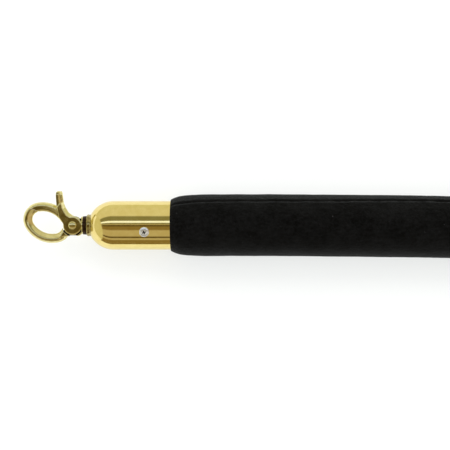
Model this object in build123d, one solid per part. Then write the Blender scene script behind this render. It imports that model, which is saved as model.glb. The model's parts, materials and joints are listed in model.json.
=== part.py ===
"""Velvet barrier rope: a foam-cored velvet tube with a swivelling brass trigger hook at each end.

Millimetres, +Z up. The origin is the centre of the near hook's eye and +X runs along the rope.
Each end fitting is modelled once, in its own frame, with its eye at the origin and the rope towards +X.
The near fitting stays there, and the far one is moved to the other end of the rope's route.
"""
import math
import os

from build123d import *

# Driving dimensions
ROPE_R = 19.0
VELVET_WALL = 1.5
FERRULE_R = 15.0
FERRULE_WALL = 1.2
FERRULE_MOUTH = 81.0
VELVET_START = 76.0
END_CAP_LENGTH = 8.0
AXIS_Y = -1.7
GAP = 0.1

# Hook eye: a four-centred oval, tilted about Z
EYE_TILT = -24.0
EYE_END_R = 7.5
EYE_END_OFFSET = 4.95
EYE_SIDE_R = 16.2
EYE_SIDE_OFFSET = 7.15
BAND_WIDTH = 5.8
BAND_THICK = 5.2
NOSE_CUT = 3.8
NOSE_SPLIT_ANGLE = 130.0
GATE_TIP_ANGLE = 170.0
BODY_RIGHT_ANGLE = 5.0
GATE_RIGHT_ANGLE = 25.0
SIDE_ANGLE = math.degrees(math.atan2(EYE_SIDE_OFFSET, EYE_END_OFFSET))

# Gate pivot
PIVOT = (15.7, -1.8)
PIVOT_R = 1.5
BOSS_R = 5.4
LUG_R = 5.5
LUG_HALF = 2.3
SLOT_R = 5.9
CHEEK_TOP = 3.4
RIVET_HEAD_R = 2.5
RIVET_HEAD_RISE = 0.9
RIVET_ROUNDING = 0.72
SPRING_R = 2.7
SPRING_WIRE_R = 0.28
POCKET_R = 3.6
POCKET_DEPTH = 1.4

# Swivel
BASE_X = 21.7
BASE_HALF = 3.0
WEB_HALF = CHEEK_TOP - 0.3
FLANGE_R = 5.7
FLANGE_END = 23.3
POST_R = 3.0
POST_END = 30.1
THREAD_R = 2.0
THREAD_END = 34.8
COLLAR_FRONT = 23.6
COLLAR_FRONT_R = 6.3
COLLAR_R = 6.7
COLLAR_FLARE_START = 24.9
STAKE_R = 4.7
STAKE_END = 29.9
WASHER_R = 5.2
WASHER_THICK = 1.0
NUT_ACROSS_FLATS = 7.0
NUT_THICK = 3.2

# Ferrule dome
DOME_X = 40.8
DOME_LENGTH = 15.8
NOSE_R = 7.7
NOSE_WALL = 1.5
NOSE_X = DOME_X - DOME_LENGTH * math.sqrt(1 - (NOSE_R / FERRULE_R) ** 2)

# Outlines in the hook's plane
BODY_OUTLINE = [
    (6.4, -10.4),
    (10.4, -8.9),
    (13.8, -8.2),
    (19.8, -8.2),
    (BASE_X, -6.6),
    (BASE_X, 4.2),
    (20.2, 2.2),
    PIVOT,
    (9.6, -4.6),
]
WEB_OUTLINE = [
    (9.9, 12.4),
    (11.3, 9.2),
    (13.6, 6.4),
    (17.4, 3.2),
    PIVOT,
    (10.6, -1.9),
    (9.6, -0.4),
    (7.4, 2.6),
    (5.9, 9.6),
]
LEVER_OUTLINE = [(5.9, 9.0), (5.3, 17.2), (6.3, 18.8), (8.8, 19.2), (9.4, 17.6), (10.4, 11.0)]

# Screw, plug and core
SCREW_X = 60.3
SCREW_LEAN = 15.0
SCREW_R = 1.5
SCREW_HEAD_R = 2.95
SCREW_HEAD_RISE = 1.6
SCREW_ROUNDING = 1.0
RECESS_LENGTH = 3.4
RECESS_WIDTH = 0.8
SCREW_DEPTH = 8.0
PLUG_R = 12.4
PLUG_START = 50.0
CORE_R = ROPE_R - VELVET_WALL - GAP
CORD_R = 2.5
CORD_START = 47.0
KNOT_R = 5.5
KNOT_FACE_R = 4.0

# The velvet's rolled end, over the ferrule's mouth
ROLL_INNER_X = 76.9
ROLL_OUTER_X = 82.6
ROLL_CREST = (78.6, 18.5)

# Storage tie, round both legs of the folded rope
TIE_X = 440.0
TIE_WIDTH = 20.0
TIE_THICK = 1.1

# The rope's route in plan, from the near velvet edge to the far one
ROUTE = [
    (76, AXIS_Y),
    (206, AXIS_Y),
    (356, -9.5),
    (475, -20.5),
    (527, -51.5),
    (576, -122.5),
    (651, -150.5),
    (728, -130.5),
    (780, -69.5),
    (788, 9.5),
    (749, 79.5),
    (676, 113.5),
    (597, 100.5),
    (536, 40.5),
    (479, 20.5),
    (419, 25.5),
    (370, 34.5),
]
NEAR_TIE_RUN = (ROUTE[2], ROUTE[3])
FAR_TIE_RUN = (ROUTE[-3], ROUTE[-2])


def direction(start, end):
    """Unit vector in plan from one route point to the next."""
    return (Vector(*end) - Vector(*start)).normalized()


def trimmed_route():
    """The route without the stretch that each end cap takes up."""
    first = Vector(*ROUTE[0]) + direction(ROUTE[0], ROUTE[1]) * END_CAP_LENGTH
    last = Vector(*ROUTE[-1]) - direction(ROUTE[-2], ROUTE[-1]) * END_CAP_LENGTH
    return [first, *[Vector(*point) for point in ROUTE[1:-1]], last]


def corner_radii(points):
    """The largest tangent arcs that both runs at each corner leave room for."""
    radii = []
    for before, corner, after in zip(points, points[1:], points[2:]):
        run_in = corner - before
        run_out = after - corner
        half_turn = math.radians(run_in.get_angle(run_out) / 2)
        radii.append(0.45 * min(run_in.length, run_out.length) / math.tan(half_turn))
    return radii


def tube_along(path, outer, inner=0.0):
    """A round bar or tube swept along a path."""
    section = Circle(outer)
    if inner:
        section -= Circle(inner)
    return sweep(path.location_at(0) * section, path)


def along_axis(radius, start, end):
    """A cylinder on the fitting's swivel axis."""
    bar = Cylinder(radius, end - start, align=(Align.CENTER, Align.CENTER, Align.MIN))
    return Pos(start, AXIS_Y, 0) * Rot(0, 90, 0) * bar


def turned(profile):
    """Revolve a closed profile, given as edges in (x, radius), about the swivel axis."""
    return Pos(0, AXIS_Y, 0) * revolve(make_face(profile), Axis.X)


def at_pivot(radius, low, high):
    """A cylinder on the gate's pivot axis."""
    bar = Cylinder(radius, high - low, align=(Align.CENTER, Align.CENTER, Align.MIN))
    return Pos(*PIVOT, low) * bar


def slab(points, half_thick):
    """A plate with the given outline, centred on the hook's own plane."""
    return Pos(0, 0, -half_thick) * extrude(make_face(Polyline(*points, close=True)), 2 * half_thick)


def eye_arc(start_angle, end_angle, side):
    """One piece of the eye's oval band: side is 0 for an end arc on the left, 1 bottom, 2 right, 3 top."""
    centres = [(-EYE_END_OFFSET, 0), (0, EYE_SIDE_OFFSET), (EYE_END_OFFSET, 0), (0, -EYE_SIDE_OFFSET)]
    radius = EYE_SIDE_R if side in (1, 3) else EYE_END_R
    path = CenterArc(centres[side], radius, start_angle, end_angle - start_angle)
    section = Ellipse(BAND_WIDTH / 2, BAND_THICK / 2)
    start = path @ 0
    plane = Plane(origin=start, x_dir=start - Vector(*centres[side]), z_dir=path % 0)
    return sweep(plane * section, path)


def nose_block(above):
    """The half space on one side of the joint between the hook's nose and the gate's tip."""
    size = 20
    low = NOSE_CUT if above else NOSE_CUT + 2 * GAP - size
    cube = Box(size, size, size, align=(Align.CENTER, Align.MIN, Align.CENTER))
    return Pos(-EYE_END_OFFSET - EYE_END_R, low, 0) * cube


def make_hook_body():
    arm = eye_arc(NOSE_SPLIT_ANGLE, 180 + SIDE_ANGLE, 0)
    arm += eye_arc(180 + SIDE_ANGLE, 360 - SIDE_ANGLE, 1)
    arm += eye_arc(-SIDE_ANGLE, BODY_RIGHT_ANGLE, 2)
    arm = Rot(0, 0, EYE_TILT) * (arm - nose_block(above=True))
    block = slab(BODY_OUTLINE, BASE_HALF) + arm
    block -= at_pivot(SLOT_R, -CHEEK_TOP, CHEEK_TOP)
    body = block + slab(BODY_OUTLINE, LUG_HALF) + at_pivot(LUG_R, -LUG_HALF, LUG_HALF)
    body += along_axis(FLANGE_R, BASE_X - GAP, FLANGE_END)
    body += along_axis(POST_R, FLANGE_END, POST_END) + along_axis(THREAD_R, POST_END, THREAD_END)
    body -= at_pivot(PIVOT_R, -CHEEK_TOP, CHEEK_TOP)
    return body - at_pivot(POCKET_R, -CHEEK_TOP, POCKET_DEPTH - LUG_HALF)


def make_hook_gate():
    arm = eye_arc(SIDE_ANGLE, 180 - SIDE_ANGLE, 3) + eye_arc(180 - SIDE_ANGLE, GATE_TIP_ANGLE, 0)
    arm += eye_arc(GATE_RIGHT_ANGLE, SIDE_ANGLE, 2)
    arm = Rot(0, 0, EYE_TILT) * (arm - nose_block(above=False))
    gate = slab(WEB_OUTLINE, WEB_HALF) + at_pivot(BOSS_R, -CHEEK_TOP, CHEEK_TOP)
    gate += slab(LEVER_OUTLINE, BAND_THICK / 2) + arm
    gate -= at_pivot(SLOT_R, -LUG_HALF - GAP, LUG_HALF + GAP)
    return gate - at_pivot(PIVOT_R + GAP / 2, -CHEEK_TOP, CHEEK_TOP)


def make_gate_rivet():
    """The shank, with a low round head on each face of the gate."""
    seat = CHEEK_TOP + GAP
    head = at_pivot(RIVET_HEAD_R, seat, seat + RIVET_HEAD_RISE)
    head = fillet(head.edges().sort_by(Axis.Z)[-1], RIVET_ROUNDING)
    return at_pivot(PIVOT_R, -seat, seat) + head + mirror(head, Plane.XY)


def make_gate_spring():
    """One and a half turns of wire in the pocket under the lug."""
    pitch = 2.1 * SPRING_WIRE_R
    turns = 1.5
    coil = Helix(pitch, turns * pitch, SPRING_R)
    wire = sweep(coil.location_at(0) * Circle(SPRING_WIRE_R), coil, is_frenet=True)
    return Pos(*PIVOT, -LUG_HALF + SPRING_WIRE_R) * wire


def make_swivel_collar():
    """Flared in front of the ferrule, with a plain shank staked behind its wall."""
    bore = POST_R + GAP / 2
    flare = (NOSE_X, NOSE_R - 0.4)
    chamfer = (COLLAR_FRONT, COLLAR_FRONT_R), (COLLAR_FRONT + COLLAR_R - COLLAR_FRONT_R, COLLAR_R)
    waist = (COLLAR_FLARE_START, COLLAR_R)
    profile = [
        Polyline(flare, (NOSE_X, STAKE_R), (STAKE_END, STAKE_R), (STAKE_END, bore)),
        Polyline((STAKE_END, bore), (COLLAR_FRONT, bore), *chamfer, waist),
        ThreePointArc(waist, (26.0, 6.5), flare),
    ]
    return turned(profile)


def make_swivel_washer():
    ring = along_axis(WASHER_R, POST_END, POST_END + WASHER_THICK)
    return ring - along_axis(THREAD_R + GAP / 2, POST_END, POST_END + WASHER_THICK)


def make_swivel_nut():
    start = POST_END + WASHER_THICK
    hexagon = RegularPolygon(NUT_ACROSS_FLATS / 2, 6, major_radius=False)
    nut = Pos(start, AXIS_Y, 0) * Rot(0, 90, 0) * extrude(hexagon, NUT_THICK)
    return nut - along_axis(THREAD_R, start, start + NUT_THICK)


def dome_arc(length, radius, start_r):
    """The quarter ellipse of the dome from a radius near the nose up to its full radius."""
    angle = math.degrees(math.asin(start_r / radius))
    return EllipticalCenterArc((DOME_X, 0), length, radius, 90, arc_size=90 - angle)


def make_ferrule():
    bore = FERRULE_R - FERRULE_WALL
    front = NOSE_X + NOSE_WALL
    outer_dome = dome_arc(DOME_LENGTH, FERRULE_R, NOSE_R)
    inner_length = DOME_LENGTH - NOSE_WALL
    inner_nose = bore * math.sqrt(1 - ((DOME_X - front) / inner_length) ** 2)
    inner_dome = dome_arc(inner_length, bore, inner_nose)
    profile = [
        outer_dome,
        Polyline(outer_dome @ 1, (NOSE_X, STAKE_R), (front, STAKE_R), inner_dome @ 1),
        inner_dome,
        Polyline((DOME_X, bore), (FERRULE_MOUTH, bore), (FERRULE_MOUTH, FERRULE_R), (DOME_X, FERRULE_R)),
    ]
    return turned(profile) - screw_bar(SCREW_R + GAP, 0, ROPE_R)


def screw_bar(radius, low, high):
    """A cylinder on the ferrule screw's axis, between two distances from the rope's axis."""
    bar = Cylinder(radius, high - low, align=(Align.CENTER, Align.CENTER, Align.MIN))
    return Pos(SCREW_X, AXIS_Y, 0) * Rot(SCREW_LEAN, 0, 0) * Pos(0, 0, low) * bar


def make_ferrule_screw():
    """Pan head with a cross recess, and a plain shank into the plug."""
    head = screw_bar(SCREW_HEAD_R, FERRULE_R, FERRULE_R + SCREW_HEAD_RISE)
    head = fillet(head.edges().sort_by(Axis.Z)[-1], SCREW_ROUNDING)
    slot = Box(RECESS_LENGTH, RECESS_WIDTH, SCREW_HEAD_RISE)
    slot += Box(RECESS_WIDTH, RECESS_LENGTH, SCREW_HEAD_RISE)
    placed = Pos(SCREW_X, AXIS_Y, 0) * Rot(SCREW_LEAN, 0, 0)
    recess = placed * Pos(0, 0, FERRULE_R + SCREW_HEAD_RISE) * slot
    return head - recess + screw_bar(SCREW_R, SCREW_DEPTH, FERRULE_R)


def make_end_plug():
    """Drilled through for the strength cord and across for the screw."""
    end = VELVET_START + END_CAP_LENGTH
    plug = along_axis(PLUG_R, PLUG_START, end) - along_axis(CORD_R + GAP, PLUG_START, end)
    return plug - screw_bar(SCREW_R, SCREW_DEPTH, ROPE_R)


def make_cord_knot():
    """A stopper knot, plain, that bears on the plug's front face."""
    front = PLUG_START - 2 * KNOT_R
    back = (PLUG_START, KNOT_FACE_R)
    profile = [
        Polyline(back, (PLUG_START, CORD_R), (CORD_START, CORD_R), (CORD_START, 0), (front, 0)),
        Line((front, 0), (front, KNOT_FACE_R)),
        ThreePointArc((front, KNOT_FACE_R), (PLUG_START - KNOT_R, KNOT_R), back),
    ]
    return turned(profile)


def velvet_end():
    """The velvet tucked into the ferrule and rolled over its mouth, up to the full rope."""
    inner = PLUG_R + GAP
    neck = FERRULE_R - FERRULE_WALL - GAP
    over = FERRULE_R + 2 * GAP
    end = VELVET_START + END_CAP_LENGTH
    roll = FERRULE_MOUTH + 2 * GAP
    wall = ROPE_R - VELVET_WALL
    back = end - VELVET_WALL / 2
    lip = (ROLL_INNER_X, over)
    edge = (VELVET_START + 0.3, 16.6)
    crest = (ROLL_OUTER_X, ROPE_R)
    profile = [
        Polyline((PLUG_START, inner), (PLUG_START, neck), (roll, neck), (roll, over), lip),
        ThreePointArc(lip, (VELVET_START + GAP, 15.8), edge),
        ThreePointArc(edge, ROLL_CREST, crest),
        Polyline(crest, (end, ROPE_R), (end, wall), (back, wall), (back, inner), (PLUG_START, inner)),
    ]
    return turned(profile) - screw_bar(SCREW_R + GAP, 0, ROPE_R)


def leg_at_tie(start, end):
    """Where one leg's run, from one route point to the next, passes the tie."""
    share = (TIE_X - start[0]) / (end[0] - start[0])
    return Vector(TIE_X, start[1] + share * (end[1] - start[1]))


def tie_shape(radius, width):
    """A stadium round both legs of the rope at the tie."""
    near = leg_at_tie(*NEAR_TIE_RUN)
    far = leg_at_tie(*FAR_TIE_RUN)
    along = (direction(*NEAR_TIE_RUN) - direction(*FAR_TIE_RUN)).normalized()
    across = along.rotate(Axis.Z, 90)
    outline = SlotCenterToCenter((far - near).dot(across), 2 * radius)
    return Plane((near + far) / 2, x_dir=across, z_dir=along) * extrude(outline, width / 2, both=True)


def make_storage_tie():
    return tie_shape(ROPE_R, TIE_WIDTH) - tie_shape(ROPE_R - TIE_THICK, TIE_WIDTH)


def make_velvet_cover(path):
    tube = tube_along(path, ROPE_R, ROPE_R - VELVET_WALL)
    cover = tube + velvet_end() + to_far_end(velvet_end())
    grooved = tie_shape(ROPE_R + 1, TIE_WIDTH) - tie_shape(ROPE_R - TIE_THICK - GAP, TIE_WIDTH)
    return cover - grooved


def make_strength_cord(path):
    cord = tube_along(path, CORD_R)
    stub = along_axis(CORD_R, CORD_START, VELVET_START + END_CAP_LENGTH)
    return cord + stub + to_far_end(stub)


def to_far_end(shape):
    """Move a shape from the fitting's own frame to the far end of the route."""
    heading = direction(ROUTE[-1], ROUTE[-2])
    turn = math.degrees(math.atan2(heading.Y, heading.X))
    placed = Pos(*ROUTE[-1], 0) * Rot(0, 0, turn) * Pos(-VELVET_START, -AXIS_Y, 0)
    return placed * shape


FITTING = {
    "hook_body": make_hook_body,
    "hook_gate": make_hook_gate,
    "gate_rivet": make_gate_rivet,
    "gate_spring": make_gate_spring,
    "swivel_collar": make_swivel_collar,
    "swivel_washer": make_swivel_washer,
    "swivel_nut": make_swivel_nut,
    "ferrule": make_ferrule,
    "ferrule_screw": make_ferrule_screw,
    "end_plug": make_end_plug,
    "cord_knot": make_cord_knot,
}


def main():
    os.makedirs("parts", exist_ok=True)
    nodes = {}
    for name, make in FITTING.items():
        shape = make()
        nodes["near_" + name] = shape
        nodes["far_" + name] = to_far_end(shape)

    points = trimmed_route()
    radii = corner_radii(points)
    path = FilletPolyline(*points, radius=radii)
    print("corner radii:", [round(radius) for radius in radii])
    print("velvet length:", round(path.length + 2 * END_CAP_LENGTH))
    nodes["velvet_cover"] = make_velvet_cover(path)
    nodes["foam_core"] = tube_along(path, CORE_R, CORD_R + GAP)
    nodes["strength_cord"] = make_strength_cord(path)
    nodes["storage_tie"] = make_storage_tie()
    section = math.pi * (CORE_R**2 - (CORD_R + GAP) ** 2)
    print("core volume over section times length:", nodes["foam_core"].volume / section / path.length)

    for name, shape in nodes.items():
        shape.label = name
        export_step(shape, f"parts/{name}.step")


main()
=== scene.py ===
"""Looks of the velvet barrier rope, in metres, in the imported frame. Lengths in mm are multiplied by MM."""
import json
import math

import bmesh
import bpy
from mathutils import Matrix, Vector, noise


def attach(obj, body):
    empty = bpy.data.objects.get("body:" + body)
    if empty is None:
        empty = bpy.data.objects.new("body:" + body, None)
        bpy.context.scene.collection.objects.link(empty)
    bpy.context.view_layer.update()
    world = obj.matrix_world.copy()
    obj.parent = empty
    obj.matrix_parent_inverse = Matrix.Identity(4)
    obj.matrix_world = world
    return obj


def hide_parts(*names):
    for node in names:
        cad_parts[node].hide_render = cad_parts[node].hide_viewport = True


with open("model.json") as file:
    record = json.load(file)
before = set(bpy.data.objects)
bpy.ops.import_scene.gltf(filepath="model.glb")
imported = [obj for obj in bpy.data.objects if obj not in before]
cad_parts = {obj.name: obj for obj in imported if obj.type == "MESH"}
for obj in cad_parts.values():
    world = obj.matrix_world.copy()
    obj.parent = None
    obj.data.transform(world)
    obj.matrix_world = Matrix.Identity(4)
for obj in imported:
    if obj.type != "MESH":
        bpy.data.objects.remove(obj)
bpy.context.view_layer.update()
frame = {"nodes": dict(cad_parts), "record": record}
NODES = frame["nodes"]
MM = 0.001
TAU = 2 * math.pi

# Sizes repeated from the CAD design, in mm
ROPE_R = 19.0
FERRULE_R = 15.0
FERRULE_BORE = 13.8
FERRULE_MOUTH = 81.0
VELVET_START = 76.0
AXIS_Y = -1.7
FLOOR_Z = -19.0
EYE_TILT = math.radians(-24)
EYE_END_R = 7.5
EYE_END_OFFSET = 4.95
EYE_SIDE_R = 16.2
EYE_SIDE_OFFSET = 7.15
SIDE_ANGLE = math.degrees(math.atan2(EYE_SIDE_OFFSET, EYE_END_OFFSET))
PIVOT = (15.7, -1.8)
CHEEK_TOP = 3.4
LUG_HALF = 2.3
SLOT_R = 5.9
DOME_X = 40.8
DOME_LENGTH = 15.8
NOSE_R = 7.7
NOSE_X = DOME_X - DOME_LENGTH * math.sqrt(1 - (NOSE_R / FERRULE_R) ** 2)
SCREW_X = 60.3
SCREW_LEAN = 15.0
TIE_X = 440.0
TIE_WIDTH = 20.0
TIE_THICK = 1.1

# The rope's route in metres: the CAD design's points, with the second one moved so that the run stays
# straight longer
ROUTE = [
    (0.076, -0.0017),
    (0.236, -0.0009),
    (0.356, -0.0095),
    (0.475, -0.0205),
    (0.527, -0.0515),
    (0.576, -0.1225),
    (0.651, -0.1505),
    (0.728, -0.1305),
    (0.780, -0.0695),
    (0.788, 0.0095),
    (0.749, 0.0795),
    (0.676, 0.1135),
    (0.597, 0.1005),
    (0.536, 0.0405),
    (0.479, 0.0205),
    (0.419, 0.0255),
    (0.370, 0.0345),
]


# ---------------------------------------------------------------- camera
def make_camera():
    data = bpy.data.cameras.new("camera")
    camera = bpy.data.objects.new("camera", data)
    bpy.context.scene.collection.objects.link(camera)
    distance, width = 0.65, 0.2759
    camera.location = (0.1088, -0.0015, distance)
    data.sensor_width = 36
    data.lens = 36 * distance / width
    bpy.context.scene.camera = camera


# ---------------------------------------------------------------- mesh helpers
def add_mesh(name, mesh, slot, body, sharp=40):
    """Link a mesh as a smooth-shaded piece that rides on a body."""
    obj = bpy.data.objects.new(name, mesh)
    bpy.context.scene.collection.objects.link(obj)
    mesh.polygons.foreach_set("use_smooth", [True] * len(mesh.polygons))
    mesh.set_sharp_from_angle(angle=math.radians(sharp))
    if len(mesh.materials) < 2:  # a mesh with two materials keeps its own
        mesh.materials.clear()
        mesh.materials.append(MATERIALS[slot])
    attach(obj, body)
    return obj


def skin(name, rings, loop=False, capped=True):
    """A mesh through rings of points. loop joins the last ring to the first, capped closes both ends."""
    count = len(rings[0])
    points = [p for ring in rings for p in ring]
    faces = []
    last = len(rings) if loop else len(rings) - 1
    for i in range(last):
        a, b = i * count, (i + 1) % len(rings) * count
        for j in range(count):
            k = (j + 1) % count
            faces.append((a + j, a + k, b + k, b + j))
    if capped and not loop:
        faces.append(tuple(reversed(range(count))))
        faces.append(tuple(range(len(points) - count, len(points))))
    mesh = bpy.data.meshes.new(name)
    mesh.from_pydata([tuple(p) for p in points], [], faces)
    mesh.update()
    return mesh


def softened(points, radius, steps=6):
    """The same open polyline with each inner corner rounded."""
    out = [points[0]]
    for before, corner, after in zip(points, points[1:], points[2:]):
        a, p, b = Vector(before), Vector(corner), Vector(after)
        reach_in = min(radius, 0.48 * (a - p).length)
        reach_out = min(radius, 0.48 * (b - p).length)
        start = p + (a - p).normalized() * reach_in
        end = p + (b - p).normalized() * reach_out
        for i in range(steps + 1):
            t = i / steps
            out.append(tuple(start * (1 - t) ** 2 + p * 2 * t * (1 - t) + end * t * t))
    return out + [points[-1]]


def lathe(name, profile, segments=192, closed=False):
    """Turn a profile of (x, radius), in mm, about the swivel axis."""
    rings = []
    for x, r in profile:
        ring = []
        for i in range(segments):
            a = TAU * i / segments
            ring.append((x * MM, (AXIS_Y + r * math.sin(a)) * MM, r * math.cos(a) * MM))
        rings.append(ring)
    return skin(name, rings, loop=closed)


def standing_lathe(name, profile, segments=96):
    """Turn a profile of (radius, z), in mm, about Z."""
    rings = []
    for r, z in profile:
        r = max(r, 1e-4)
        rings.append([(r * math.cos(TAU * i / segments) * MM, r * math.sin(TAU * i / segments) * MM, z * MM)
                      for i in range(segments)])
    return skin(name, rings)


def slab(outline, half, rounding):
    """A plate in the hook's plane with all its edges rounded, in mm, as a bmesh."""
    bm = bmesh.new()
    low = [bm.verts.new((x, y, -half)) for x, y in outline]
    high = [bm.verts.new((x, y, half)) for x, y in outline]
    bm.faces.new(low)
    bm.faces.new(high)
    for i in range(len(outline)):
        k = (i + 1) % len(outline)
        bm.faces.new((low[i], low[k], high[k], high[i]))
    bmesh.ops.recalc_face_normals(bm, faces=bm.faces)
    bmesh.ops.bevel(bm, geom=bm.edges[:], offset=rounding, segments=4, profile=0.5, affect="EDGES",
                    clamp_overlap=True)
    return bm


def shells_to_mesh(name, shells):
    """One mesh, in metres, from several closed shells in mm."""
    joined = bmesh.new()
    for shell in shells:
        part = bpy.data.meshes.new("shell")
        shell.to_mesh(part)
        shell.free()
        joined.from_mesh(part)
        bpy.data.meshes.remove(part)
    bmesh.ops.recalc_face_normals(joined, faces=joined.faces)
    bmesh.ops.triangulate(joined, faces=joined.faces)
    mesh = bpy.data.meshes.new(name)
    joined.to_mesh(mesh)
    joined.free()
    return mesh


def as_bmesh(mesh):
    bm = bmesh.new()
    bm.from_mesh(mesh)
    bpy.data.meshes.remove(mesh)
    return bm


def applied(mesh, add_modifiers):
    """The mesh after modifiers that add_modifiers puts on it."""
    obj = bpy.data.objects.new("work", mesh)
    bpy.context.scene.collection.objects.link(obj)
    add_modifiers(obj)
    bpy.context.view_layer.update()
    result = bpy.data.meshes.new_from_object(obj.evaluated_get(bpy.context.evaluated_depsgraph_get()))
    bpy.data.objects.remove(obj)
    return result


def cast(mesh, voxel, passes):
    """Fuse overlapping shells into one skin with softly rounded edges, as a casting has."""
    def modifiers(obj):
        fuse = obj.modifiers.new("fuse", "REMESH")
        fuse.mode = "VOXEL"
        fuse.voxel_size = voxel
        soften = obj.modifiers.new("soften", "SMOOTH")
        soften.factor = 0.5
        soften.iterations = passes
    return applied(mesh, modifiers)


def cut(mesh, cutter_mesh):
    cutter = bpy.data.objects.new("cutter", cutter_mesh)
    bpy.context.scene.collection.objects.link(cutter)

    def modifiers(obj):
        cut_away = obj.modifiers.new("cut", "BOOLEAN")
        cut_away.operation = "DIFFERENCE"
        cut_away.solver = "EXACT"
        cut_away.object = cutter
        cut_away.material_mode = "TRANSFER"
    result = applied(mesh, modifiers)
    bpy.data.objects.remove(cutter)
    return result


def scaled(mesh, factor):
    mesh.transform(Matrix.Scale(factor, 4))
    return mesh


# ---------------------------------------------------------------- node helpers
def nodes_of(material):
    material.use_nodes = True
    return material.node_tree.nodes, material.node_tree.links


def new_material(name, **values):
    material = bpy.data.materials.new(name)
    nodes, links = nodes_of(material)
    shader = nodes["Principled BSDF"]
    for socket, value in values.items():
        shader.inputs[socket.replace("_", " ")].default_value = value
    return material, nodes, links, shader


def object_coordinates(nodes, links, scale=(1, 1, 1)):
    place = nodes.new("ShaderNodeTexCoord")
    mapping = nodes.new("ShaderNodeMapping")
    mapping.inputs["Scale"].default_value = scale
    links.new(place.outputs["Object"], mapping.inputs["Vector"])
    return mapping.outputs["Vector"]


def noise_texture(nodes, links, vector, scale, detail=3.0, roughness=0.5):
    texture = nodes.new("ShaderNodeTexNoise")
    texture.inputs["Scale"].default_value = scale
    texture.inputs["Detail"].default_value = detail
    texture.inputs["Roughness"].default_value = roughness
    links.new(vector, texture.inputs["Vector"])
    return texture.outputs["Fac"]


def maths(nodes, links, operation, *values):
    """A Math node's output. Each value is a number or another node's output."""
    node = nodes.new("ShaderNodeMath")
    node.operation = operation
    for socket, value in zip(node.inputs, values):
        if isinstance(value, (int, float)):
            socket.default_value = value
        else:
            links.new(value, socket)
    return node.outputs[0]


def mixed(nodes, links, factor, first, second):
    """One colour over another. first is a node's output, second a colour."""
    node = nodes.new("ShaderNodeMix")
    node.data_type = "RGBA"
    node.inputs[7].default_value = (*second, 1)
    links.new(factor, node.inputs[0])
    links.new(first, node.inputs[6])
    return node.outputs[2]


def map_range(nodes, links, value, *limits):
    """Map a value: limits are From Min, From Max and, unless they are 0 and 1, To Min and To Max."""
    node = nodes.new("ShaderNodeMapRange")
    for socket, limit in zip(("From Min", "From Max", "To Min", "To Max"), limits):
        node.inputs[socket].default_value = limit
    links.new(value, node.inputs["Value"])
    return node.outputs["Result"]


def ramp(nodes, links, factor, stops):
    node = nodes.new("ShaderNodeValToRGB")
    elements = node.color_ramp.elements
    while len(elements) > 1:
        elements.remove(elements[-1])
    elements[0].position, elements[0].color = stops[0][0], (*stops[0][1], 1)
    for position, colour in stops[1:]:
        elements.new(position).color = (*colour, 1)
    links.new(factor, node.inputs["Fac"])
    return node.outputs["Color"]


def spread_of(nodes, links, factor, low, high):
    """Map a noise factor, mostly 0.3 to 0.7, to a range."""
    return map_range(nodes, links, factor, 0.3, 0.7, low, high)


def bump(nodes, links, shader, height, distance, strength=1.0, normal=None):
    node = nodes.new("ShaderNodeBump")
    node.inputs["Strength"].default_value = strength
    node.inputs["Distance"].default_value = distance
    links.new(height, node.inputs["Height"])
    if normal:
        links.new(normal, node.inputs["Normal"])
    links.new(node.outputs["Normal"], shader.inputs["Normal"])
    return node.outputs["Normal"]


def metal(name, low, high, rough, mottle=260, grain=2500, dent=0.00001, metallic=1.0):
    """A metal whose colour and roughness vary a little, with fine polishing marks."""
    material, nodes, links, shader = new_material(name, Metallic=metallic)
    vector = object_coordinates(nodes, links)
    blotch = noise_texture(nodes, links, vector, mottle, 4)
    links.new(ramp(nodes, links, blotch, [(0.35, low), (0.65, high)]), shader.inputs["Base Color"])
    links.new(spread_of(nodes, links, blotch, *rough), shader.inputs["Roughness"])
    bump(nodes, links, shader, noise_texture(nodes, links, vector, grain, 2), dent, 0.4)
    return material


VELVET_SHEEN = 0.075
LINT_SIZE = 0.033  # as a share of a noise cell
LINT_COLOUR = (0.10, 0.095, 0.10)


def make_velvet():
    material, nodes, links, shader = new_material("velvet", Roughness=0.85)
    shader.inputs["Sheen Weight"].default_value = VELVET_SHEEN
    shader.inputs["Sheen Roughness"].default_value = 0.38
    shader.inputs["Sheen Tint"].default_value = (0.86, 0.93, 0.95, 1)
    shader.inputs["Specular IOR Level"].default_value = 0.12
    vector = object_coordinates(nodes, links)
    patch = noise_texture(nodes, links, vector, 90, 5, 0.6)
    dark, light = (0.0001, 0.0001, 0.0001), (0.0050, 0.0050, 0.0049)
    fine = noise_texture(nodes, links, vector, 620, 4, 0.75)
    stretched = object_coordinates(nodes, links, (260, 620, 620))
    streaks = noise_texture(nodes, links, stretched, 1.0, 4, 0.7)
    pile_marks = maths(nodes, links, "ADD", fine, streaks)
    soft = maths(nodes, links, "MULTIPLY", patch, 0.3)
    share = maths(nodes, links, "MULTIPLY_ADD", pile_marks, 0.35, soft)
    base = ramp(nodes, links, share, [(0.43, dark), (0.62, light)])
    # lint: rare small flecks
    cells = nodes.new("ShaderNodeTexVoronoi")
    cells.inputs["Scale"].default_value = 190
    links.new(vector, cells.inputs["Vector"])
    fleck = maths(nodes, links, "LESS_THAN", cells.outputs["Distance"], LINT_SIZE)
    links.new(mixed(nodes, links, fleck, base, LINT_COLOUR), shader.inputs["Base Color"])
    pile = noise_texture(nodes, links, vector, 1000, 4, 0.7)
    first = bump(nodes, links, shader, pile, 0.0006, 1.0)
    bump(nodes, links, shader, patch, 0.0006, 0.6, first)
    return material


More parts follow.
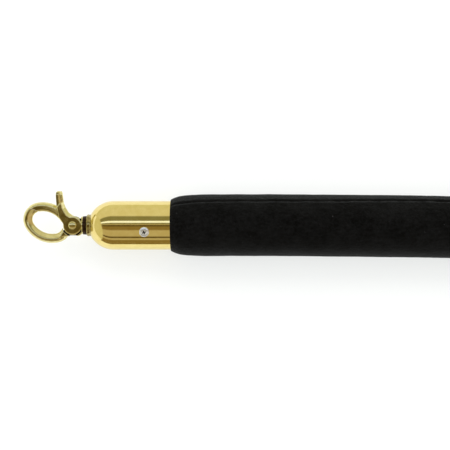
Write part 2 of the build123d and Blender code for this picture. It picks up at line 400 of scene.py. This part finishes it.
def make_fabric(name, low, high, weave=900, rough=0.9, depth=0.0002):
    material, nodes, links, shader = new_material(name, Roughness=rough)
    vector = object_coordinates(nodes, links)
    links.new(ramp(nodes, links, noise_texture(nodes, links, vector, 120, 4), [(0.3, low), (0.7, high)]),
              shader.inputs["Base Color"])
    cells = nodes.new("ShaderNodeTexVoronoi")
    cells.inputs["Scale"].default_value = weave
    links.new(vector, cells.inputs["Vector"])
    bump(nodes, links, shader, cells.outputs["Distance"], depth, 0.7)
    return material


def make_wood():
    material, nodes, links, shader = new_material("plug_wood", Roughness=0.6)
    vector = object_coordinates(nodes, links, (60, 900, 900))
    grain = noise_texture(nodes, links, vector, 1.0, 5, 0.6)
    links.new(ramp(nodes, links, grain, [(0.3, (0.30, 0.18, 0.09)), (0.7, (0.52, 0.36, 0.21))]),
              shader.inputs["Base Color"])
    bump(nodes, links, shader, grain, 0.0001, 0.5)
    return material


MATERIALS = {
    "velvet": make_velvet(),
    "ferrule_brass": metal("ferrule_brass", (0.80, 0.645, 0.235), (0.85, 0.70, 0.28), (0.06, 0.10)),
    "hook_brass": metal("hook_brass", (0.68, 0.60, 0.27), (0.80, 0.72, 0.36), (0.05, 0.10), 420, 1500),
    # a darker copy of the hook's brass: painted shade on the swivel collar
    "painted_shade_collar_brass": metal("painted_shade_collar_brass", (0.26, 0.20, 0.07), (0.46, 0.38, 0.15), (0.12, 0.22), 650, 1500,
                          0.00002),
    # near-black brass: painted shade for the hook's gaps and the screw's cross recess
    "painted_shade_brass": metal("painted_shade_brass", (0.022, 0.011, 0.006), (0.06, 0.034, 0.018), (0.4, 0.55), 600),
    "screw_nickel": metal("screw_nickel", (0.66, 0.70, 0.74), (0.88, 0.90, 0.92), (0.08, 0.16), 900,
                          metallic=0.8),
    "steel": metal("steel", (0.5, 0.5, 0.49), (0.62, 0.62, 0.61), (0.25, 0.4)),
    "spring_steel": metal("spring_steel", (0.4, 0.4, 0.4), (0.52, 0.52, 0.51), (0.2, 0.35)),
    "plug_wood": make_wood(),
    "foam": make_fabric("foam", (0.62, 0.60, 0.55), (0.76, 0.74, 0.69), 700, 0.95, 0.0005),
    "cord": make_fabric("cord", (0.55, 0.53, 0.47), (0.72, 0.70, 0.64), 1100),
    "tie": make_fabric("tie", (0.016, 0.016, 0.018), (0.035, 0.035, 0.038), 1400),
}


def paint_cad_nodes():
    """Give every carried-over CAD node its slot's material."""
    slots = {row["node"]: row["material_slot"] for row in frame["record"]["subparts"]}
    for node, obj in NODES.items():
        obj.data.materials.clear()
        obj.data.materials.append(MATERIALS[slots[node]])


# ---------------------------------------------------------------- rope
def spline_points():
    """The rope's line: points read from a NURBS spline on the route."""
    curve = bpy.data.curves.new("route", "CURVE")
    curve.dimensions = "3D"
    curve.resolution_u = 72
    spline = curve.splines.new("NURBS")
    spline.points.add(len(ROUTE) - 1)
    for point, (x, y) in zip(spline.points, ROUTE):
        point.co = (x, y, 0, 1)
    spline.order_u = 3
    spline.use_endpoint_u = True
    obj = bpy.data.objects.new("route", curve)
    mesh = bpy.data.meshes.new_from_object(obj)
    line = [v.co.copy() for v in mesh.vertices]
    bpy.data.objects.remove(obj)
    bpy.data.meshes.remove(mesh)
    return line


def distances(line):
    total = [0.0]
    for a, b in zip(line, line[1:]):
        total.append(total[-1] + (b - a).length)
    return total


def frames_along(line):
    """Each point of the line with its unit tangent."""
    out = []
    for i, p in enumerate(line):
        a, b = line[max(i - 1, 0)], line[min(i + 1, len(line) - 1)]
        out.append((p, (b - a).normalized()))
    return out


END_LENGTH = 21.0
TUCK_X = 69.5
ROLLED_EDGE = [(-0.4, 15.2), (-0.3, 15.8), (1.2, 16.55), (3.6, 17.5), (6.4, 18.1), (9.0, 18.4),
               (14.0, 18.75), (20.5, 18.97)]


def end_profile():
    """The velvet's end as (distance from the line's start, radius) in mm.

    It comes out of the ferrule, goes over its mouth and back along its outside, then round the rolled edge."""
    mouth = FERRULE_MOUTH - VELVET_START
    tuck_end = TUCK_X - VELVET_START
    inside = [(tuck_end, 12.7), (tuck_end, 13.45), (mouth + 0.5, 13.5), (mouth + 0.5, 15.15)]
    tuck = softened([*inside, ROLLED_EDGE[0]], 0.4, 4)[:-1]
    return tuck + softened(ROLLED_EDGE, 2.0, 5)


def seam_offsets():
    """Angles round the rope from its seam, closer together near the seam."""
    fine, coarse, edge = 28, 100, math.radians(9)
    near_seam = [-edge + 2 * edge * i / fine for i in range(fine)]
    return near_seam + [edge + (TAU - 2 * edge) * i / coarse for i in range(coarse)]


def bell(x, width):
    return math.exp(-((x / width) ** 2))


def velvet_radius(base, s, length, turn, tie_at):
    """The rope's radius in mm at s mm along the line and the angle turn from the seam."""
    ends = min(s, length - s)
    full = min(1, max(0, (ends - 6) / 20))
    angle = (turn + math.pi) % TAU - math.pi
    wander = 0.55 * noise.noise(Vector((s * 0.11, 9.3, 2.2)))
    wander += 0.2 * noise.noise(Vector((s * 0.4, 1.3, 2.2)))
    arc = angle * base + wander
    pucker = 0.5 + 0.9 * noise.noise(Vector((s * 0.33, 3.1, 0.4)))
    groove = 0.50 * (0.45 + 0.9 * pucker) * bell(arc, 0.8)
    lips = 0.20 * (bell(arc - 1.9, 1.2) + bell(arc + 1.9, 1.2)) * (0.4 + pucker)
    fade = min(1, max(0.0, (ends + 1) / 6))
    around = Vector((math.cos(turn), math.sin(turn), 0))
    swell = noise.noise(Vector((s * 0.013, 0, 7.7)) + around * 0.55)
    crease = noise.noise(Vector((s * 0.07, 5.2, 0)) + around * 1.5)
    radius = base + (lips - groove) * fade + full * (0.32 * swell + 0.10 * crease)
    nap = noise.noise(Vector((s * 0.45, 0, 0)) + around * 9)
    nap += 0.6 * noise.noise(Vector((s * 0.9, 0, 4)) + around * 17)
    radius += 0.085 * nap * fade
    for at in tie_at:
        away = abs(s - at) - TIE_WIDTH / 2
        squeeze = 1 if away <= 0 else bell(away, 7.0)
        radius -= (1.35 + 0.25 * noise.noise(around * 3 + Vector((at, 0, 0)))) * squeeze
        radius += 0.45 * bell(away - 11, 6)
    return radius


def rope_ring(point, tangent, s, base, length, offsets, tie_at, flat=True):
    """One ring of the velvet, in metres."""
    side = Vector((0, 0, 1)).cross(tangent)
    seam = math.radians(47 + 0.05 * s)
    ring = []
    for turn in offsets:
        r = velvet_radius(base, s, length, turn, tie_at) if flat else base
        a = seam + turn
        z = r * math.cos(a)
        if z < FLOOR_Z + 0.12:
            z = FLOOR_Z + 0.12 - 0.1 * bell(FLOOR_Z + 0.12 - z, 0.5)
        ring.append(point + side * (r * math.sin(a) * MM) + Vector((0, 0, z * MM)))
    return ring


def make_velvet_mesh(line, tie_at):
    s_of = [d / MM for d in distances(line)]
    length = s_of[-1]
    offsets = seam_offsets()
    placed = frames_along(line)
    start, way_in = placed[0]
    end, way_out = placed[-1]
    rings = []
    profile = end_profile()
    for s, r in profile:
        rings.append(rope_ring(start + way_in * (s * MM), way_in, s, r, length, offsets, (), r > 15.3))
    for (point, tangent), s in zip(placed, s_of):
        if END_LENGTH < s < length - END_LENGTH:
            rings.append(rope_ring(point, tangent, s, ROPE_R, length, offsets, tie_at))
    for s, r in reversed(profile):
        at = length - s
        rings.append(rope_ring(end - way_out * (s * MM), way_out, at, r, length, offsets, (), r > 15.3))
    return skin("velvet_cover_pile", rings, capped=False), length


def plain_tube(name, line, radius, trim, bore=0.0, segments=40):
    """A round bar along the rope's line, from trim mm inside each end."""
    s_of = [d / MM for d in distances(line)]
    rings, inner = [], []
    for (point, tangent), s in zip(frames_along(line), s_of):
        if trim < s < s_of[-1] - trim:
            side = Vector((0, 0, 1)).cross(tangent)
            unit = [(side * math.sin(TAU * i / segments) + Vector((0, 0, math.cos(TAU * i / segments)))) * MM
                    for i in range(segments)]
            rings.append([point + u * radius for u in unit])
            inner.append([point + u * bore for u in unit])
    if bore:
        return skin(name, rings + inner[::-1], loop=True)
    return skin(name, rings)


def leg_at(line, x_mm, returning):
    """Where the rope's near or returning leg passes x."""
    pairs = list(zip(line, line[1:]))
    if returning:
        pairs = pairs[::-1]
    for a, b in pairs:
        low, high = sorted((a.x, b.x))
        if low <= x_mm * MM <= high and (high - low) > 1e-9:
            share = (x_mm * MM - a.x) / (b.x - a.x)
            return a.lerp(b, share), (b - a).normalized()
    return None


def distance_to(line, point):
    s_of = distances(line)
    best = min(range(len(line)), key=lambda i: (line[i] - point).length)
    return s_of[best] / MM


# ---------------------------------------------------------------- storage tie
def stadium(half_gap, radius, steps=40):
    """Points and outward normals round two circles, in the tie's own plane."""
    out = []
    for i in range(steps + 1):
        a = -math.pi / 2 + math.pi * i / steps
        out.append((half_gap + radius * math.cos(a), radius * math.sin(a), math.cos(a), math.sin(a)))
    for i in range(1, 12):
        out.append((half_gap - 2 * half_gap * i / 12, radius, 0, 1))
    for i in range(steps + 1):
        a = math.pi / 2 + math.pi * i / steps
        out.append((-half_gap + radius * math.cos(a), radius * math.sin(a), math.cos(a), math.sin(a)))
    for i in range(1, 12):
        out.append((-half_gap + 2 * half_gap * i / 12, -radius, 0, -1))
    return out


def make_tie(near, far):
    """A woven strap round both legs, its end lapped on top."""
    centre = (near[0] + far[0]) / 2
    along = (near[1] - far[1]).normalized()
    across = Vector((0, 0, 1)).cross(along)
    half_gap = abs((far[0] - near[0]).dot(across)) / 2
    section = softened([(-10, 0), (-10, 1.05), (0, 1.1), (10, 1.05), (10, 0)], 0.5, 4)

    def strap(stations, lift):
        rings = []
        for u, v, nu, nv in stations:
            ring = []
            for w, h in section:
                rise = h + lift
                offset = across * (u + nu * rise) + along * w + Vector((0, 0, v + nv * rise))
                ring.append(centre + offset * MM)
            rings.append(ring)
        return rings

    stations = stadium(half_gap, ROPE_R - TIE_THICK - 0.1)
    loop = skin("storage_tie_strap", strap(stations, 0), loop=True)
    lap_stations = [s for s in stations if s[3] == 1 and -half_gap < s[0] < half_gap * 0.55]
    lap = skin("storage_tie_lap", strap(lap_stations, 1.0))
    return loop, lap


# ---------------------------------------------------------------- end fittings
def ferrule_mesh():
    profile = []
    steps = 72
    low = math.asin(NOSE_R / FERRULE_R)
    for i in range(steps + 1):
        a = low + (math.pi / 2 - low) * i / steps
        profile.append((DOME_X - DOME_LENGTH * math.cos(a), FERRULE_R * math.sin(a)))
    mouth = [(DOME_X + 2, FERRULE_R), (FERRULE_MOUTH, FERRULE_R), (FERRULE_MOUTH, FERRULE_BORE),
             (DOME_X, FERRULE_BORE), (NOSE_X + 2.6, 7.6), (NOSE_X + 1.5, 4.7), (NOSE_X, 4.7)]
    return lathe("ferrule", profile + softened(mouth, 0.4, 5) + softened(
        [(NOSE_X, 4.7), (NOSE_X, NOSE_R - 0.02), (NOSE_X + 0.05, NOSE_R)], 0.1, 3)[1:-1], 256, closed=True)


def collar_mesh():
    flare = [(29.9, 4.7), (29.9, 3.05), (24.3, 3.05), (24.3, 6.3), (24.8, 6.72), (25.3, 6.72), (26.0, 6.5),
             (26.8, 6.8), (NOSE_X - 0.02, 7.3), (NOSE_X - 0.02, 4.7), (29.9, 4.7)]
    return lathe("collar", softened(flare, 0.35, 5), 160, closed=True)


def eye_path(arcs, step=4.0):
    """Points of the oval's centre line with their outward normals, in the hook's plane, in mm."""
    centres = [(-EYE_END_OFFSET, 0), (0, EYE_SIDE_OFFSET), (EYE_END_OFFSET, 0), (0, -EYE_SIDE_OFFSET)]
    out = []
    for side, start, end in arcs:
        radius = EYE_SIDE_R if side in (1, 3) else EYE_END_R
        count = max(2, round(abs(end - start) / step * radius / EYE_END_R))
        for i in range(count + 1):
            a = math.radians(start + (end - start) * i / count)
            normal = Vector((math.cos(a), math.sin(a), 0))
            point = Vector((*centres[side], 0)) + normal * radius
            if not out or (out[-1][0] - point).length > 0.05:
                out.append((point, normal))
    return out


# Half of the eye's section, outwards and up from its middle. The body's: steep outside, a ridge, and a long
# slope to the inside. The gate's: a flat face with a wide slope outside and a narrow one inside.
BODY_BAND = [(2.9, 0.0), (2.75, 0.75), (2.3, 1.55), (1.75, 2.3), (1.3, 2.58), (0.2, 2.58), (-0.6, 2.15),
             (-1.8, 1.42), (-2.55, 0.8), (-2.9, 0.0)]
GATE_BAND = [(2.9, 0.0), (2.75, 0.7), (2.1, 1.6), (1.3, 2.5), (0.8, 2.6), (-1.9, 2.6), (-2.45, 2.3),
             (-2.8, 1.4), (-2.9, 0.0)]


def band_section(half):
    """A closed section of the eye's band, in mm, counter-clockwise."""
    upper = softened(half, 0.35, 3)
    return upper + [(w, -h) for w, h in reversed(upper[1:-1])]


def band(path, section, keep, rise=(1.0, 1.0)):
    """Sweep the section along the oval, in mm, and cut it at the nose joint.

    keep is +1 for the part above, -1 for the part below. rise scales the height at the path's two ends."""
    rings = []
    for i, (point, normal) in enumerate(path):
        share = i / (len(path) - 1)
        tall = rise[0] + (rise[1] - rise[0]) * share
        rings.append([point + normal * w + Vector((0, 0, h * tall)) for w, h in section])
    bm = as_bmesh(skin("band", rings))
    cut_at = NOSE_CUT + (NOSE_GAP if keep > 0 else 0)
    everything = bm.verts[:] + bm.edges[:] + bm.faces[:]
    edges = bmesh.ops.bisect_plane(bm, geom=everything, plane_co=(0, cut_at, 0), plane_no=(0, keep, 0),
                                   clear_inner=True)
    rim = [g for g in edges["geom_cut"] if isinstance(g, bmesh.types.BMEdge)]
    bmesh.ops.holes_fill(bm, edges=rim)
    bmesh.ops.rotate(bm, verts=bm.verts, matrix=Matrix.Rotation(EYE_TILT, 3, "Z"))
    return bm


NOSE_CUT = 3.8
NOSE_GAP = 0.14
BODY_OUTLINE = [(6.4, -10.4), (10.4, -8.9), (13.8, -8.2), (19.8, -8.2), (21.7, -6.6), (21.7, 4.2),
                (20.2, 2.2), PIVOT, (9.6, -4.6)]
GATE_FACE = 3.3
# The gate's web: its full outline, and the smaller outline of its flat face, point for point
WEB_FULL = [(9.9, 12.4), (11.2, 9.2), (13.2, 6.0), (16.6, 3.8), (19.4, 1.8), PIVOT, (10.7, -3.4), (9.4, -0.4),
            (7.3, 2.6), (5.9, 9.6)]
WEB_FACE = [(8.6, 12.0), (9.6, 8.3), (11.7, 4.7), (15.4, 2.3), (18.2, 0.8), PIVOT, (11.0, -3.2), (9.7, -0.2),
            (7.7, 2.8), (6.3, 9.5)]
# The thumb lever, from its root to its tip: distance along the hook's Y, left edge, right edge and height
LEVER = [(8.0, 5.9, 11.0, 1.0), (11.0, 5.75, 10.2, 1.0), (14.0, 5.5, 9.8, 1.0), (17.2, 5.3, 9.4, 1.0),
         (18.5, 5.6, 9.2, 0.9), (19.3, 6.3, 8.8, 0.5)]
VISUAL_BOSS_R = 5.8
VISUAL_SLOT_R = 6.6


def web_shell():
    levels = [(WEB_FACE, -GATE_FACE), (WEB_FULL, -0.9), (WEB_FULL, 0.9), (WEB_FACE, GATE_FACE)]
    return as_bmesh(skin("web", [[(x, y, z) for x, y in outline] for outline, z in levels]))


def lever_shell():
    """A lever with a narrow flat top on its left and a long slope to its right."""
    rings = []
    for y, left, right, tall in LEVER:
        wide = right - left
        upper = [(left, 0.6), (left + 0.1, 3.0), (left + 0.42 * wide, 3.1), (left + 0.56 * wide, 2.7),
                 (right - 0.2, 0.8), (right, 0.4)]
        ring = upper + [(x, -z) for x, z in reversed(upper)]
        rings.append([(x, y, z * tall) for x, z in ring])
    return as_bmesh(skin("lever", rings))


def disc(radius, low, high, rounding):
    """A round boss about the pivot, in mm, as a bmesh."""
    profile = softened([(0, low), (radius, low), (radius, high), (0, high)], rounding, 5)
    bm = as_bmesh(scaled(standing_lathe("disc", profile), 1 / MM))
    bmesh.ops.translate(bm, verts=bm.verts, vec=(*PIVOT, 0))
    return bm


def bar(radius, start, end):
    """A round bar on the swivel axis, in mm, as a bmesh."""
    profile = softened([(start, 0.01), (start, radius), (end, radius), (end, 0.01)], 0.4, 4)
    return as_bmesh(scaled(lathe("bar", profile, 64), 1 / MM))


VOXEL = 0.15


def hook_body_mesh():
    arcs = [(0, 130, 180 + SIDE_ANGLE), (1, 180 + SIDE_ANGLE, 360 - SIDE_ANGLE), (2, -SIDE_ANGLE, 8)]
    ring = band(eye_path(arcs), band_section(BODY_BAND), keep=-1)
    shoulder = cast(shells_to_mesh("shoulder", [ring, slab(BODY_OUTLINE, 3.0, 0.9)]), 0.25, 4)
    slotted = cut(shoulder, shells_to_mesh("slot", [disc(VISUAL_SLOT_R, -4, 4, 0.2)]))
    shells = [as_bmesh(slotted), bar(3.0, 20.5, 30.1), bar(2.0, 29.8, 34.8), bar(5.5, 21.3, 22.4)]
    return scaled(cast(shells_to_mesh("hook_body", shells), VOXEL, 5), MM)


def lug_mesh():
    """The lug inside the gate's slot, joined to the body under the groove round the boss; its near-black brass
    paints the shade in that groove.
    """
    inset = [(13.4 + (x - 13.4) * 0.9, -5.0 + (y + 5.0) * 0.9) for x, y in BODY_OUTLINE]
    shells = [slab(inset, 1.3, 0.3), disc(5.5, -LUG_HALF, LUG_HALF, 0.3)]
    return scaled(cast(shells_to_mesh("hook_lug", shells), VOXEL, 3), MM)


def hook_gate_mesh():
    arcs = [(2, 25, SIDE_ANGLE), (3, SIDE_ANGLE, 180 - SIDE_ANGLE), (0, 180 - SIDE_ANGLE, 172)]
    ring = band(eye_path(arcs), band_section(GATE_BAND), keep=1, rise=(GATE_FACE / 2.6, 1.0))
    shells = [ring, web_shell(), lever_shell(), disc(VISUAL_BOSS_R, -GATE_FACE, GATE_FACE, 0.9)]
    whole = cast(shells_to_mesh("hook_gate", shells), VOXEL, 6)
    slot_half = LUG_HALF + 0.1
    return scaled(cut(whole, shells_to_mesh("lug_slot", [disc(SLOT_R, -slot_half, slot_half, 0.05)])), MM)


def rivet_mesh():
    half = []
    for i in range(13):
        a = math.pi / 2 * i / 12
        half.append((2.5 * math.sin(a), CHEEK_TOP + 0.15 + 0.95 * math.cos(a) ** 0.9))
    shank = [(2.5, CHEEK_TOP + 0.05), (1.5, CHEEK_TOP), (1.5, -CHEEK_TOP), (2.5, -CHEEK_TOP - 0.05)]
    profile = half + shank + [(r, -z) for r, z in reversed(half)]
    mesh = standing_lathe("gate_rivet", profile, 64)
    mesh.transform(Matrix.Translation((PIVOT[0] * MM, PIVOT[1] * MM, 0)))
    return mesh


def screw_mesh():
    """A domed pan head with a cross recess, on the ferrule, and its shank. The recess walls take the
    near-black brass as painted shade.
    """
    top, radius = FERRULE_R + 1.6, 2.95
    head = [(0, 8.0), (1.5, 8.0), (1.5, FERRULE_R - 0.4), (radius, FERRULE_R - 0.25),
            (radius, FERRULE_R + 0.6)]
    for i in range(1, 13):
        a = math.pi / 2 * i / 12
        head.append((radius * math.cos(a), FERRULE_R + 0.6 + (top - FERRULE_R - 0.6) * math.sin(a)))
    profile = softened(head[:5], 0.15, 3) + head[5:]
    mesh = scaled(standing_lathe("screw", profile), 1 / MM)
    mesh.materials.append(MATERIALS["screw_nickel"])
    arms = []
    for long_x, long_y in ((1.5, 0.45), (0.45, 1.5)):
        cross = bmesh.new()
        bmesh.ops.create_cube(cross, size=2)
        bmesh.ops.scale(cross, vec=(long_x, long_y, 1.1), verts=cross.verts)
        for v in cross.verts:
            if v.co.z < 0:
                v.co.x *= 0.55
                v.co.y *= 0.55
        bmesh.ops.translate(cross, vec=(0, 0, top + 0.05), verts=cross.verts)
        arms.append(cross)
    for arm in arms:
        recess = shells_to_mesh("recess", [arm])
        # the recess walls get the near-black brass: painted shade in the cross recess
        recess.materials.append(MATERIALS["painted_shade_brass"])
        mesh = cut(mesh, recess)
    mesh.transform(Matrix.Rotation(math.radians(20), 4, "Z"))
    scaled(mesh, MM)
    lean = Matrix.Rotation(math.radians(SCREW_LEAN), 4, "X")
    mesh.transform(Matrix.Translation((SCREW_X * MM, AXIS_Y * MM, 0)) @ lean)
    return mesh


def far_matrix():
    end, before = Vector((*ROUTE[-1], 0)), Vector((*ROUTE[-2], 0))
    heading = before - end
    turn = math.atan2(heading.y, heading.x)
    return (Matrix.Translation(end) @ Matrix.Rotation(turn, 4, "Z")
            @ Matrix.Translation((-VELVET_START * MM, -AXIS_Y * MM, 0)))


def seat_mesh():
    """The flange on the post, which the collar turns against; its near-black brass paints the shade in the gap
    before the collar.
    """
    profile = [(21.9, 3.0), (21.9, 5.6), (24.15, 5.75), (24.15, 3.0), (21.9, 3.0)]
    return lathe("swivel_seat", softened(profile, 0.25, 4), 128, closed=True)


FITTING = {
    "ferrule": (ferrule_mesh, "ferrule_brass", "rope", 50),
    # the collar's darker brass is painted shade
    "swivel_collar": (collar_mesh, "painted_shade_collar_brass", "rope", 50),
    "ferrule_screw": (screw_mesh, "screw_nickel", "rope", 35),
    "hook_body": (hook_body_mesh, "hook_brass", "hook", 60),
    "gate_rivet": (rivet_mesh, "hook_brass", "hook", 50),
    "hook_gate": (hook_gate_mesh, "hook_brass", "gate", 45),
}


def make_painted_shade_parts():
    """The hook's inner parts, in near-black brass that paints the shade in the gaps where they show."""
    for name, near_mesh in (("swivel_seat", seat_mesh()), ("hook_lug", lug_mesh())):
        far_mesh = near_mesh.copy()
        far_mesh.transform(far_matrix())
        for end, mesh in (("near", near_mesh), ("far", far_mesh)):
            add_mesh(f"{end}_{name}", mesh, "painted_shade_brass", f"{end}_hook")


def make_fittings():
    """Both end fittings, the far one a moved copy."""
    for piece, (make, slot, body, sharp) in FITTING.items():
        near_mesh = make()
        far_mesh = near_mesh.copy()
        far_mesh.transform(far_matrix())
        for end, mesh in (("near", near_mesh), ("far", far_mesh)):
            rides = body if body == "rope" else f"{end}_{body}"
            obj = add_mesh(f"{end}_{piece}_finish", mesh, slot, rides, sharp)
            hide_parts(f"{end}_{piece}")


def make_rope():
    line = spline_points()
    near, far = leg_at(line, TIE_X, False), leg_at(line, TIE_X, True)
    tie_at = (distance_to(line, near[0]), distance_to(line, far[0]))
    mesh, length = make_velvet_mesh(line, tie_at)
    velvet = add_mesh("velvet_cover_pile", mesh, "velvet", "rope", 80)
    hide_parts("velvet_cover")
    foam = add_mesh("foam_core_run", plain_tube("foam", line, 17.2, 8.5, 2.7), "foam", "rope")
    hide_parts("foam_core")
    cord = add_mesh("strength_cord_run", plain_tube("cord", line, 2.5, 0, 0, 24), "cord", "rope")
    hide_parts("strength_cord")
    band_mesh, lap_mesh = make_tie(near, far)
    strap = add_mesh("storage_tie_strap", band_mesh, "tie", "rope")
    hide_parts("storage_tie")
    lap = add_mesh("storage_tie_lap", lap_mesh, "tie", "rope")


# ---------------------------------------------------------------- surroundings
def make_floor():
    """A plain pale floor."""
    half = 14.0
    mesh = bpy.data.meshes.new("floor")
    corners = [(-half, -half), (half, -half), (half, half), (-half, half)]
    mesh.from_pydata([(x, y, FLOOR_Z * MM) for x, y in corners], [], [(0, 1, 2, 3)])
    floor = bpy.data.objects.new("floor", mesh)
    bpy.context.scene.collection.objects.link(floor)
    material, nodes, links, shader = new_material("floor", Roughness=0.9, Emission_Strength=0.56)
    vector = object_coordinates(nodes, links)
    links.new(ramp(nodes, links, noise_texture(nodes, links, vector, 3, 2),
                   [(0.3, (0.43, 0.435, 0.43)), (0.7, (0.44, 0.445, 0.44))]), shader.inputs["Base Color"])
    shader.inputs["Emission Color"].default_value = (0.98, 1.0, 0.99, 1)
    mesh.materials.append(material)


# The studio the metal mirrors: a few plain cards round the object, with soft gaps between them. Each one runs
# from one angle to another, measured from straight up towards +Y.
CARDS = {
    "pale": (0.80, 0.78, 0.64),
    "cream": (0.57, 0.50, 0.36),
    "brown": (0.28, 0.20, 0.075),
    "dark": (0.12, 0.085, 0.025),
    "olive": (0.27, 0.26, 0.15),
    "strip": (1.35, 1.5, 2.1),
}
PANELS = [
    (-180, -99, "pale"), (-96, -75, "brown"), (-70, -64, "cream"), (-61, -57, "dark"), (-51, -25, "cream"),
    (-20, -7, "brown"), (-3, 1.5, "dark"), (2.5, 4.5, "cream"), (6, 11, "olive"), (13.5, 18.5, "strip"),
    (22, 41, "olive"), (46, 180, "pale"),
]
PANEL_END = -0.735  # the panels stop where a direction's X, with PANEL_SLANT of its Y, passes this
PANEL_SLANT = 0.18
PANEL_START = 0.6  # and they stop where its X passes this on the rope's side
SOFT_END, SOFT_START = 0.06, 0.1
PAST_PANELS = (0.74, 0.72, 0.52)
ROPE_SIDE = (0.62, 0.49, 0.34)
EVEN_LIGHT = 1.05


def make_surround():
    """A soft studio: even pale light for the floor and fabric, and long soft cards for the metal to mirror."""
    world = bpy.data.worlds.new("studio")
    bpy.context.scene.world = world
    world.use_nodes = True
    nodes, links = world.node_tree.nodes, world.node_tree.links
    nodes.clear()
    place = nodes.new("ShaderNodeTexCoord")
    split = nodes.new("ShaderNodeSeparateXYZ")
    links.new(place.outputs["Generated"], split.inputs[0])
    x, y, z = split.outputs
    share = map_range(nodes, links, maths(nodes, links, "ARCTAN2", y, z), -math.pi, math.pi)
    stops = [((degrees + 180) / 360, CARDS[card]) for start, end, card in PANELS for degrees in (start, end)]
    slanted = maths(nodes, links, "MULTIPLY_ADD", y, PANEL_SLANT, x)
    past = map_range(nodes, links, slanted, PANEL_END, PANEL_END - SOFT_END)
    before = map_range(nodes, links, x, PANEL_START, PANEL_START + SOFT_START)
    ends = mixed(nodes, links, past, ramp(nodes, links, share, stops), PAST_PANELS)
    panels = nodes.new("ShaderNodeBackground")
    links.new(mixed(nodes, links, before, ends, ROPE_SIDE), panels.inputs["Color"])
    even = nodes.new("ShaderNodeBackground")
    even.inputs["Color"].default_value = (1.0, 1.0, 1.0, 1)
    even.inputs["Strength"].default_value = EVEN_LIGHT
    rays = nodes.new("ShaderNodeLightPath")
    mix = nodes.new("ShaderNodeMixShader")
    links.new(rays.outputs["Is Glossy Ray"], mix.inputs[0])
    links.new(even.outputs[0], mix.inputs[1])
    links.new(panels.outputs[0], mix.inputs[2])
    output = nodes.new("ShaderNodeOutputWorld")
    links.new(mix.outputs[0], output.inputs["Surface"])


def area_light(name, place, target, size, energy, colour):
    data = bpy.data.lights.new(name, "AREA")
    data.shape = "RECTANGLE"
    data.size, data.size_y = size
    data.energy = energy
    data.color = colour
    light = bpy.data.objects.new(name, data)
    bpy.context.scene.collection.objects.link(light)
    light.location = place
    light.rotation_euler = (Vector(target) - Vector(place)).to_track_quat("-Z", "Y").to_euler()
    light.visible_camera = False
    light.visible_glossy = False


def board(name, y, height, colour):
    """A low upright board beside the object, seen only in the metal's reflections."""
    left, right, low = -0.10, 0.27, FLOOR_Z * MM
    corners = [(left, y, low), (right, y, low), (right, y, height), (left, y, height)]
    mesh = bpy.data.meshes.new(name)
    mesh.from_pydata(corners, [], [(0, 1, 2, 3)])
    obj = bpy.data.objects.new(name, mesh)
    bpy.context.scene.collection.objects.link(obj)
    material, nodes, links, shader = new_material(name, Emission_Strength=1.0, Roughness=1.0)
    shader.inputs["Base Color"].default_value = (0, 0, 0, 1)
    shader.inputs["Specular IOR Level"].default_value = 0
    shader.inputs["Emission Color"].default_value = (*colour, 1)
    mesh.materials.append(material)
    obj.visible_camera = obj.visible_diffuse = obj.visible_shadow = obj.visible_transmission = False


def make_boards():
    board("board_left", 0.075, 0.012, (0.78, 0.77, 0.60))
    board("board_right", -0.17, 0.010, (0.27, 0.20, 0.07))


def make_lights():
    area_light("key", (0.35, 0.9, 0.9), (0.2, 0, 0), (1.2, 0.8), 8.0, (1.0, 0.99, 0.97))


bpy.context.scene.view_settings.view_transform = "Standard"
make_camera()
make_rope()
paint_cad_nodes()
make_fittings()
make_painted_shade_parts()
make_floor()
make_surround()
make_boards()
make_lights()
